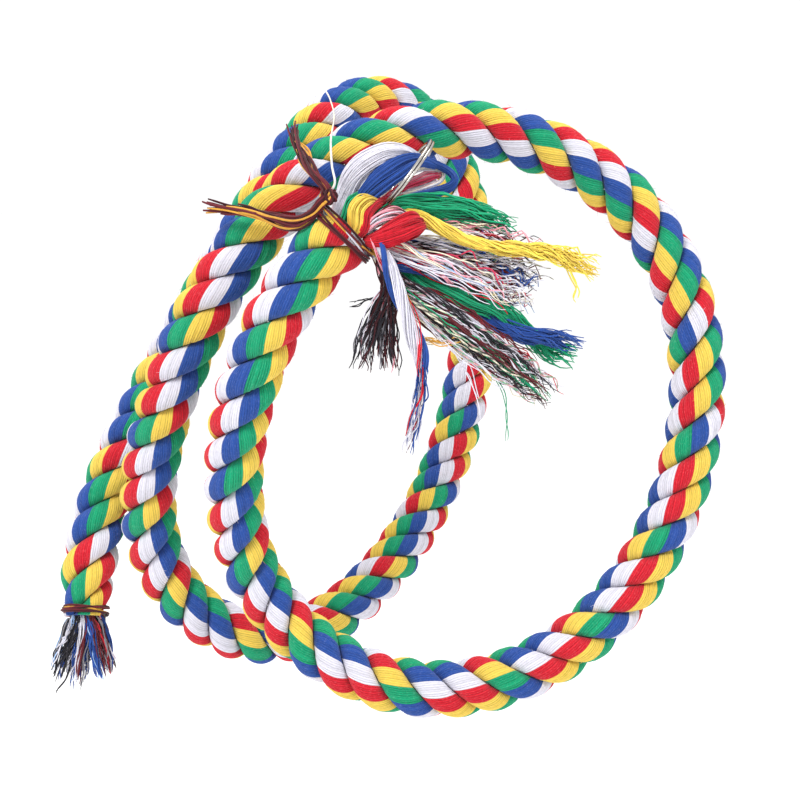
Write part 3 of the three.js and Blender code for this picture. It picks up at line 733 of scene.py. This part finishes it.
tuft.lay(None, (
    (404, 157, -12, 1.6, 1.5), (420, 159, -8, 1.8, 1.6), (436, 165, -4, 1.6, 1.5), (449, 172, -2.5, 1.5, 1.4),
    (455, 180, -3, 1.6, 1.5), (449, 187, -4.5, 1.7, 1.5), (434, 192, -8, 1.7, 1.5), (417, 196, -12, 1.7, 1.5),
    (400, 200, -16, 1.3, 1.3)),
    42, 0.28, ((BLUE, 1),), 103, twist=0.2, wander=0.2, ends=(0.97, 1.0), rings=34, lock=4)
tuft.settle("yarn_blue_loop", "coil_1", "blue_yarn")

# green, yellow and red yarns that lead round the ring
tuft = Tuft()
tuft.lay((-25.7, -27.6, -5.1), ((346, 218, -29, 2.2, 2.0),(350, 204, -28, 2.2, 2.0), (360, 196, -24, 1.8, 1.7)),
         34, 0.33, ((GREEN, 1),), 111, twist=0.1, wander=0.15, ends=(0.96, 1.0))
tuft.lay((-23.4, -28.6, -7.3), (
    (355, 226, -31.5, 2.8, 2.4), (356, 211, -31, 3.2, 2.6), (364, 202, -27.5, 3.0, 2.4), (373, 202, -21.5, 2.4, 2.0),
    (382, 208, -16, 1.8, 1.6)), 84, 0.3, ((YELLOW, 1),), 112, twist=0.1, wander=0.18, ends=(0.96, 1.0))
tuft.lay((-20.5, -28.6, -9), (
    (364, 229, -31.5, 2.0, 2.0), (367, 215, -30, 2.3, 2.0), (374, 205, -24, 2.3, 1.9), (386, 202, -15.5, 2.2, 1.8),
    (399, 205, -13.5, 1.6, 1.5)), 60, 0.29, ((RED, 1), (CRIMSON, 1)), 113, twist=0.1, wander=0.15, ends=(0.96, 1.0), lock=4)
tuft.lay((-16.5, -29, -6), (
    (368, 230, -30.5, 1.4, 1.2), (376, 221, -31, 2.2, 1.2), (388, 214, -30, 2.7, 1.3), (400, 213, -27, 2.4, 1.2),
    (409, 218, -23, 1.6, 1.0)), 38, 0.25, ((WHITE, 3), (PINK, 3), (MAROON, 2), (GREY, 1)), 114, twist=0.2, wander=0.3, ends=(0.94, 1.02))
tuft.settle("yarn_green_yellow_red", "coil_1", "green_yarn")

# red yarn, folded over
tuft = Tuft()
tuft.lay((-16.5, -28.5, -9), (
    (372, 241, -31.5, 2.6, 2.2), (385, 237, -34, 3.8, 2.5), (399, 230, -33.5, 4.5, 2.5), (412, 223, -31, 4.3, 2.4),
    (419, 223, -26.5, 3.0, 2.0), (414, 230, -23, 2.4, 1.8), (402, 237, -22, 2.0, 1.6)), 200, 0.26, ((CRIMSON, 1), (RED, 1)), 121,
    twist=0.18, wander=0.25, ends=(0.95, 1.0), rings=30, lock=3)
tuft.settle("yarn_red", "coil_1", "red_yarn")

# the short threads looped through the ring
tuft = Tuft()
tuft.lay((-15, -16, 1.5), (
    (394, 194, -10, 1.6, 1.4), (410, 186, -6, 3.0, 2.0), (428, 178, -2.5, 3.0, 2.2), (443, 175, -1, 1.8, 1.5)), 54, 0.27,
    ((ROSE, 4), (PINK, 2), (RED, 1), (WHITE, 1), (MAROON, 0.6)), 131, twist=0.15, wander=0.3, ends=(0.85, 1.0), lock=2)
tuft.lay(None, (
    (398, 185, -9, 0.8, 0.8), (414, 172, -5, 0.9, 0.8), (430, 169, -2.5, 0.9, 0.9), (443, 174, -1, 0.9, 0.9),
    (438, 183, -3.5, 0.9, 0.9), (420, 190, -8, 0.9, 0.8), (398, 198, -13, 0.8, 0.8)), 15, 0.28, ((WHITE, 3), (CREAM, 2)), 132,
    twist=0.3, wander=0.25, ends=(0.94, 1.0), rings=30)
tuft.settle("yarn_pink", "coil_1", "pink_yarn")

# upper green yarn
tuft = Tuft()
tuft.lay((-18, -19, -3), (
    (390, 207, -18, 1.5, 1.5), (405, 205, -17.2, 2.3, 2.0), (424, 208, -16.5, 4.2, 2.6), (450, 209, -15.6, 4.7, 3.0),
    (478, 215, -14.8, 4.4, 3.0), (505, 224, -14, 3.7, 2.6)), 150, 0.28, ((GREEN, 16), (LEMON, 1)), 141, twist=0.12,
    wander=0.7, curl=0.8, wave=12, ends=(0.7, 1.08), rings=34, lock=3)
tuft.settle("yarn_green_upper", "coil_1", "green_yarn")

# yellow yarn, three plies, open at its end
tuft = Tuft()
for i in range(3):
    tuft.lay((-15.5, -21.5, -5), (
        (392, 212, -20, 1.1, 1.1), (424, 218, -21.5, 1.2, 1.2), (445, 230, -23.5, 1.3, 1.2), (470, 241, -24, 1.4, 1.3),
        (500, 248, -24.2, 1.8, 1.6), (530, 250, -23.6, 2.2, 1.8), (556, 255, -22.8, 2.2, 1.8), (580, 264, -22.4, 2.2, 1.8)),
        24, 0.30, ((LEMON, 3), (YELLOW, 2)), 151 + i, twist=0.9, wander=0.3, curl=0.9, wave=11, ends=(0.86, 1.1),
        splay=0.8, open_at=0.75, ply=(0.85, 2.2, 2.094 * i), rings=40)
tuft.lay(None, ((545, 252, -23, 0.5, 0.5), (566, 262, -22.5, 0.5, 0.5), (575, 280, -22, 0.5, 0.5), (577, 298, -22, 0.4, 0.4)),
         3, 0.26, ((LEMON, 1),), 155, wander=0.6, curl=0.5)
tuft.settle("yarn_yellow", "coil_1", "yellow_yarn")

# mixed filler above and between
tuft = Tuft()
tuft.lay((-17, -17, -7), (
    (374, 236, -14.5, 2.6, 2.6), (396, 244, -17, 4.0, 3.2), (422, 252, -18, 5.0, 3.4), (456, 262, -17.5, 6.0, 3.8),
    (490, 273, -16.5, 6.4, 3.8), (525, 286, -16, 6.0, 3.6)), 220, 0.25,
    ((WHITE, 4.4), (SKY, 2), (BLACK, 2.4), (MAROON, 2), (RED, 1), (ROSE, 0.8), (CREAM, 2.6), (BLUE, 0.8)), 161, twist=0.1,
    wander=0.8, curl=1.5, wave=9, ends=(0.55, 1.08), splay=0.5, open_at=0.6, rings=40, lock=6)
tuft.lay((-15.5, -23, -7.5), (
    (388, 246, -27.5, 1.6, 1.2), (412, 256, -29.5, 3.0, 1.4), (442, 270, -30, 3.6, 1.5), (476, 288, -29.5, 3.6, 1.5),
    (504, 304, -28.5, 3.4, 1.6)), 56, 0.22, ((WHITE, 4), (SKY, 2), (RED, 1.2), (PINK, 1), (BLACK, 1), (CREAM, 1)), 164, twist=0.1,
    wander=0.8, curl=1.0, wave=11, ends=(0.4, 1.08), rings=36, lock=4)
tuft.lay((-16.5, -21.5, -6), (
    (398, 216, -17, 1.4, 1.4), (430, 221, -16, 2.0, 1.8), (462, 228, -15.8, 2.8, 2.2), (494, 237, -16, 3.2, 2.4),
    (523, 246, -16.5, 3.2, 2.4)), 84, 0.23, ((WHITE, 3), (CREAM, 3), (MAROON, 2), (BLACK, 2), (RED, 0.8), (PINK, 0.8)), 162,
    twist=0.1, wander=0.7, curl=1.3, wave=9, ends=(0.6, 1.12), splay=0.5, open_at=0.6, rings=40, lock=5)
tuft.lay((-16, -19, -7), (
    (396, 244, -19, 1.6, 1.6), (440, 256, -20.5, 3.4, 2.2), (478, 266, -20.5, 4.6, 2.4), (512, 275, -19.5, 5.6, 2.8),
    (540, 283, -18.5, 6.0, 3.2)), 15, 0.36, ((BLACK, 4), (MAROON, 2), (OLIVE, 0.6)), 163, twist=0.1, wander=1.4, curl=1.6,
    wave=11, ends=(0.7, 1.08), splay=0.4, open_at=0.5, rings=80, marl=(WHITE, CREAM, WHITE, PINK))
tuft.lay((-15.5, -21, -7.5), (
    (392, 248, -22, 1.4, 1.2), (432, 262, -22.5, 2.8, 1.8), (468, 275, -22.5, 4.2, 2.0), (500, 289, -21.5, 5.2, 2.4),
    (526, 302, -20.5, 5.8, 2.8)), 24, 0.3, ((CREAM, 4), (WHITE, 3), (MAROON, 3), (ROSE, 1.5), (BLACK, 2)), 165, twist=0.1,
    wander=1.3, curl=2.3, wave=9, ends=(0.65, 1.05), rings=60)
tuft.settle("filler_upper", "coil_1", "filler_yarn")

# blue yarn and lower green yarn, wound round each other
pair = (
    (392, 262, -23, 2.0, 1.9), (418, 273, -24.2, 2.6, 2.2), (446, 287, -24.8, 2.8, 2.3), (476, 305, -25, 2.8, 2.3),
    (508, 323, -24.8, 2.8, 2.3), (540, 339, -24.2, 2.9, 2.4), (568, 350, -23.4, 3.0, 2.5))
tuft = Tuft()
tuft.lay((-15.5, -22.5, -9), pair, 110, 0.28, ((BLUE, 10), (SKY, 1)), 171, twist=0.7, wander=0.4, curl=0.8, wave=13,
         ends=(0.8, 1.06), splay=0.6, open_at=0.78, ply=(2.5, -1.5, 0.0), rings=40, lock=4)
tuft.lay((-15.5, -23.5, -8), (
    (392, 251, -27, 1.1, 1.1), (416, 261, -28.6, 1.5, 1.2), (440, 271, -29, 1.6, 1.2), (460, 280, -28.6, 1.4, 1.1)), 26, 0.27,
    ((BLUE, 5), (SKY, 1)), 172, twist=0.5, wander=0.4, curl=0.4, ends=(0.8, 1.06), lock=3)
tuft.settle("yarn_blue", "coil_1", "blue_yarn")
tuft = Tuft()
tuft.lay((-15.5, -18, -10), pair, 115, 0.28, ((GREEN, 1),), 181, twist=0.7, wander=0.4, curl=0.8, wave=12,
         ends=(0.8, 1.06), splay=0.6, open_at=0.78, ply=(2.5, -1.5, math.pi), rings=40, lock=4)
tuft.settle("yarn_green_lower", "coil_1", "green_yarn")

# mixed filler below, with golden threads and a few long stray ones
tuft = Tuft()
tuft.lay((-15, -24, -11), (
    (396, 284, -27, 2.2, 1.9), (424, 304, -29.5, 5.2, 2.8), (455, 326, -30.4, 7.2, 3.2), (490, 350, -30.6, 7.0, 3.2),
    (520, 371, -30.8, 6.2, 3.2), (544, 391, -31.5, 4.8, 2.8)), 270, 0.23,
    ((BLACK, 3), (WHITE, 3), (GREEN, 2), (MAROON, 2), (CREAM, 1.4), (RED, 0.7)), 191, twist=0.1, wander=0.7, curl=1.3, wave=10,
    ends=(0.5, 1.06), splay=0.3, open_at=0.6, rings=38, lock=6)
tuft.lay((-15, -24.5, -11), (
    (398, 286, -29.2, 1.8, 1.4), (426, 308, -31.6, 4.4, 1.6), (457, 331, -32.6, 6.0, 1.6), (492, 354, -33, 6.0, 1.8),
    (522, 374, -33, 5.4, 2.0), (542, 390, -32.5, 4.4, 2.0)), 12, 0.36, ((BLACK, 3), (MAROON, 2), (GREEN, 2)), 196, twist=0.1, wander=0.9,
    curl=1.0, wave=12, ends=(0.6, 1.04), splay=0.3, open_at=0.6, rings=80, marl=(WHITE, CREAM, PINK, WHITE))
tuft.lay((-15, -25.5, -11.5), ((405, 296, -31.5, 0.7, 0.6), (410, 314, -33, 0.8, 0.6), (416, 334, -33.5, 0.7, 0.6)), 8, 0.22,
         ((GOLD, 1),), 192, wander=0.5, curl=0.5, ends=(0.8, 1.05))
tuft.lay(None, ((412, 318, -33, 0.5, 0.5), (420, 336, -33.5, 0.7, 0.6), (440, 344, -33.5, 0.9, 0.7), (463, 342, -33, 0.9, 0.7)), 9, 0.2,
         ((GOLD, 3), (CREAM, 1)), 193, wander=0.6, curl=0.6, ends=(0.7, 1.1))
tuft.lay(None, ((476, 352, -31, 0.4, 0.4), (496, 378, -31, 0.5, 0.4), (506, 408, -31, 0.5, 0.4), (505, 438, -31, 0.4, 0.4)), 2, 0.2,
         ((GREEN, 1),), 194, wander=0.5)
tuft.lay(None, ((446, 332, -31, 0.5, 0.5), (466, 368, -31, 0.6, 0.5), (480, 402, -30, 0.6, 0.5), (484, 426, -30, 0.4, 0.4)), 3, 0.2,
         ((WHITE, 1),), 195, wander=0.6, ends=(0.7, 1.0))
tuft.settle("filler_lower", "coil_1", "filler_yarn")

# dark filler that fans out downwards
tuft = Tuft()
tuft.lay((-13.2, -25, -12), (
    (389, 287, -28.5, 1.6, 1.4), (383, 312, -29.3, 4.4, 2.4), (377, 340, -29.8, 8.0, 3.0), (374, 370, -30.2, 10.0, 3.4)), 200, 0.26,
    ((BLACK, 5), (UMBER, 2), (MAROON, 2), (WHITE, 1.2), (GREY, 1), (PINK, 0.5)), 201, twist=0.0, wander=0.6, curl=0.7, wave=14,
    ends=(0.5, 1.02), rings=26, lock=3)
tuft.lay((-13.2, -25, -12), (
    (389, 287, -29, 1.6, 1.4), (383, 312, -30.2, 4.4, 2.4), (377, 340, -30.8, 7.6, 2.8), (374, 368, -31, 9.4, 3.0)), 18, 0.36,
    ((BLACK, 3), (MAROON, 2), (UMBER, 2)), 203, twist=0.0, wander=0.6, curl=0.6, wave=14, ends=(0.55, 1.02), rings=50,
    marl=(PINK, GREY, WHITE, BLACK))
tuft.lay(None, ((386, 292, -28.5, 0.6, 0.5), (370, 300, -29, 0.6, 0.5), (350, 304, -29, 1.4, 0.8)), 4, 0.2, ((BLACK, 1),), 202, wander=0.5)
tuft.settle("filler_dark", "coil_1", "filler_yarn")

# the strand that hangs loose: a broad white yarn with a thin blue one round it
tuft = Tuft()
hang = (
    (383, 252, -34.7, 0.9, 0.9), (391, 272, -36.8, 0.95, 0.95), (400, 298, -38.3, 1.05, 1.0), (410, 325, -39.1, 1.25, 1.05),
    (419, 350, -39.7, 1.25, 1.05), (423, 370, -40.1, 1.05, 1.0))
scaled = lambda w: tuple((u, v, y, w * a, w * b) for u, v, y, a, b in hang)
tuft.lay((-13.5, -31.5, -8.5), scaled(2.1), 62, 0.29, ((WHITE, 1),), 211, twist=0.9, wander=0.2, ends=(0.88, 1.03), ply=(0.7, 1.1, 0.6), rings=34)
tuft.lay((-13.5, -31.5, -8.5), scaled(1.1), 24, 0.27, ((BLUE, 1),), 212, twist=0.9, wander=0.2, ends=(0.9, 1.06), ply=(2.0, 1.1, 3.5), rings=34)
tuft.lay((-13.5, -31.5, -8.5), scaled(0.5), 5, 0.22, ((RED, 3), (PINK, 1)), 213, twist=0.5, wander=0.3, ends=(0.9, 1.1), ply=(2.2, 1.1, 5.0), rings=34)
tuft.lay(None, ((421, 358, -40, 1.6, 1.2), (420, 388, -40.3, 2.0, 1.4), (415, 420, -40.3, 2.6, 1.6), (406, 454, -40, 3.2, 1.8)), 30, 0.24,
         ((WHITE, 6), (BLUE, 5), (RED, 2.4), (MAROON, 0.8)), 214, twist=0.4, wander=0.6, curl=0.5, wave=14, ends=(0.55, 1.02))
tuft.settle("loose_strand", "loose_strand", "white_yarn")

# frayed end behind: one short brush from the rope's end
tuft = Tuft()
tuft.lay((-134.5, 32, -163), ((80, 622, 31, 5.4, 6.4), (70, 650, 28, 5.4, 5.6), (60, 680, 25, 5.6, 4.6)), 130, 0.27,
         ((WHITE, 4), (BLACK, 3), (SKY, 1.2), (GREY, 2), (BLUE, 0.8), (MAROON, 1.2)), 221, twist=0.05, wander=0.6, curl=0.5, wave=14, ends=(0.5, 1.0), lock=4)
tuft.lay((-132.5, 31, -163), ((86, 624, 29, 4.0, 4.6), (82, 654, 26, 4.2, 4.0), (77, 688, 24, 3.6, 3.0)), 64, 0.27,
         ((WHITE, 3), (BLUE, 1.6), (BLACK, 2), (GREY, 1.6), (MAROON, 1)), 222, twist=0.05, wander=0.6, curl=0.5, wave=14, ends=(0.55, 1.0), lock=4)
tuft.lay(None, ((70, 640, 27, 0.4, 0.4), (68, 672, 25, 0.4, 0.4), (55, 692, 24, 0.4, 0.4)), 2, 0.3, ((BLACK, 1),), 223, wander=0.3)
tuft.settle("frayed_end_b_left", "coil_9", "filler_yarn")
tuft = Tuft()
tuft.lay((-129.5, 32, -163), ((93, 622, 31, 5.2, 6.4), (100, 650, 28, 5.0, 5.4), (106, 676, 26, 4.8, 4.2)), 120, 0.27,
         ((BLACK, 3), (WHITE, 3), (BLUE, 1.0), (GREY, 1.6), (MAROON, 2), (PINK, 0.6)), 231, twist=0.05, wander=0.6, curl=0.5, wave=14, ends=(0.5, 1.0), lock=4)
tuft.lay((-131.5, 28, -163), ((91, 628, 25.5, 1.2, 1.2), (95, 654, 24, 1.3, 1.2), (102, 682, 23, 1.5, 1.3)), 14, 0.28, ((BLUE, 3), (SKY, 1)), 232,
         twist=0.2, wander=0.4, ends=(0.85, 1.02))
tuft.lay((-129, 28, -163), ((99, 630, 25.5, 0.8, 0.8), (106, 650, 24.5, 0.8, 0.8), (111, 678, 24, 0.9, 0.8)), 8, 0.26, ((MAROON, 2), (RED, 1)), 233,
         twist=0.2, wander=0.4, ends=(0.85, 1.02))
tuft.lay(None, ((101, 634, 27, 0.4, 0.4), (110, 648, 26, 0.4, 0.4), (120, 664, 25, 0.4, 0.4)), 3, 0.22, ((PINK, 1), (WHITE, 1)), 234, wander=0.3)
tuft.settle("frayed_end_b_right", "coil_9", "filler_yarn")


# ---- bindings and knot -----------------------------------------------------------------
def wraps(name, node, body, s_at, radius, colours, seed):
    rng = np.random.default_rng(seed)
    at, t, n, b = (v[0] for v in rope_frame(s_at))
    threads, m = Threads(), 96
    for i, colour in enumerate(colours):
        h = (i - (len(colours) - 1) / 2) * 0.52
        a = np.linspace(0, 2 * np.pi * 1.02, m)
        lift = radius + 0.22 * np.sin(3 * a + rng.uniform(0, 6)) + 0.12 * np.sin(7 * a + rng.uniform(0, 6)) + (0, 0.34, 0.6)[i % 3]
        height = h + 0.7 * np.sin(a + rng.uniform(0, 6)) + 0.35 * np.sin(2 * a + rng.uniform(0, 6)) + 0.3 * a / (2 * np.pi)
        path = at + lift[:, None] * (np.cos(a)[:, None] * n + np.sin(a)[:, None] * b) + height[:, None] * t
        threads.add(path[None], np.full((1, m), 0.42), shaded([colour], rng, 0.1), 6)
    ob = threads.build(name, TIE)
    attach(ob, body)
    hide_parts(node)


wraps("tie_band_wraps", "tie_band", "coil_1", TIE_AT, 12.3, (UMBER, GOLD, MAROON, WHITE, MAROON, UMBER, MAROON, MAROON), 41)
wraps("end_b_tie_wraps", "end_b_tie_band", "coil_9", LENGTH - TIE_AT, 8.75, (MAROON, UMBER, MAROON, GOLD, MAROON, UMBER, MAROON), 42)

# the knot: turns of thread drawn tight over each other
rng = np.random.default_rng(43)
knot, q = Threads(), np.linspace(0, 2 * np.pi * 1.03, 56)
for colour in (MAROON, UMBER, MAROON, GOLD, UMBER, MAROON, MAROON, UMBER, GOLD, MAROON, MAROON, UMBER, MAROON, UMBER, MAROON, MAROON):
    axis = unit(rng.normal(size=3))
    one = unit(np.cross(axis, rng.normal(size=3)))
    two = np.cross(axis, one)
    r = rng.uniform(1.1, 2.9, 2)
    path = KNOT_AT + rng.normal(size=3) * 0.35 + r[0] * np.cos(q)[:, None] * one + r[1] * np.sin(q)[:, None] * two
    path = path + 0.5 * np.sin(2 * q + rng.uniform(0, 6))[:, None] * axis
    knot.add(path[None], np.full((1, len(q)), 0.42), shaded([colour], rng, 0.1), 6)
knot = knot.build("tie_knot_threads", TIE)
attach(knot, "coil_1")
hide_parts("tie_knot")


# ---- split ring ------------------------------------------------------------------------
def split_ring():
    across = unit(np.array([-0.604, -0.138, -0.785]))
    normal = unit(np.cross(across, np.array([-0.0622, 0.9979, 0.0184])))
    third = np.cross(normal, across)
    jog, m = 0.24, 260
    a = np.linspace(0, 4 * np.pi - jog * 1.15, m)
    f = np.clip((a - (2 * np.pi - jog)) / jog, 0, 1)
    h = -0.56 + 1.12 * f * f * (3 - 2 * f)
    a = a + np.pi * 0.3
    out = np.sin(a)[:, None] * third + np.cos(a)[:, None] * across
    corner = np.linspace(0, 2 * np.pi, 17)[:-1]
    radial = 1.15 * np.sign(np.cos(corner)) * np.abs(np.cos(corner)) ** 0.7
    axial = 0.535 * np.sign(np.sin(corner)) * np.abs(np.sin(corner)) ** 0.7
    points = RING_AT + (16.85 + radial)[None, :, None] * out[:, None] + (h[:, None] + axial[None])[..., None] * normal
    sides = len(corner)
    base = np.arange(m)[:, None] * sides + np.arange(sides)[None]
    after = np.roll(base, -1, axis=1)
    quads = np.stack([base[:-1], base[1:], after[1:], after[:-1]], -1)
    corners = np.concatenate([quads.reshape(-1), base[0], base[-1][::-1]])
    totals = np.concatenate([np.full((m - 1) * sides, 4), [sides, sides]])
    starts = np.concatenate([[0], np.cumsum(totals)[:-1]])
    flags = np.zeros(m * sides, int)
    flags[:sides], flags[-sides:] = 1, 2
    ob = make_mesh("split_ring_wire", points.reshape(-1, 3), corners, starts, totals, RING, None, None, flags)
    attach(ob, "ring")
    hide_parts("hanger_ring")


split_ring()

for name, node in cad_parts.items():
    if name.startswith("core_wire"):
        node.data.materials.clear()
        node.data.materials.append(WIRE)


# ---- floor, light ----------------------------------------------------------------------
floor_mesh = bpy.data.meshes.new("floor")
half = 8.0
floor_mesh.from_pydata([(-half, -half, -0.42), (half, -half, -0.42), (half, half, -0.42), (-half, half, -0.42)], [], [(0, 1, 2, 3)])
floor = bpy.data.objects.new("floor", floor_mesh)
bpy.context.scene.collection.objects.link(floor)
pale = Nodes("pale_floor")
pale.shader.inputs["Base Color"].default_value = (0.98, 0.98, 0.98, 1)
pale.shader.inputs["Roughness"].default_value = 0.9
floor_mesh.materials.append(pale.material)

world = bpy.data.worlds.new("studio")
world.use_nodes = True
world.node_tree.nodes["Background"].inputs[0].default_value = (1, 1, 1, 1)
world.node_tree.nodes["Background"].inputs[1].default_value = 0.68
bpy.context.scene.world = world


def area_light(name, at, look, size, power):
    lamp = bpy.data.lights.new(name, "AREA")
    lamp.shape, lamp.size, lamp.energy = "DISK", size, power
    ob = bpy.data.objects.new(name, lamp)
    ob.location = at
    ob.rotation_euler = (Vector(look) - Vector(at)).to_track_quat("-Z", "Y").to_euler()
    bpy.context.scene.collection.objects.link(ob)


area_light("key", (-0.55, -0.9, 0.95), (0, 0.05, -0.08), 0.45, 9)
area_light("fill", (0.9, -0.8, 0.2), (0, 0.05, -0.08), 0.9, 1.5)
area_light("top", (0.1, 0.2, 1.1), (0, 0.05, -0.08), 0.6, 4)

bpy.context.scene.view_settings.view_transform = "Standard"
bpy.context.scene.view_settings.look = "None"
bpy.context.scene.view_settings.exposure = 0.62

bpy.context.view_layer.update()
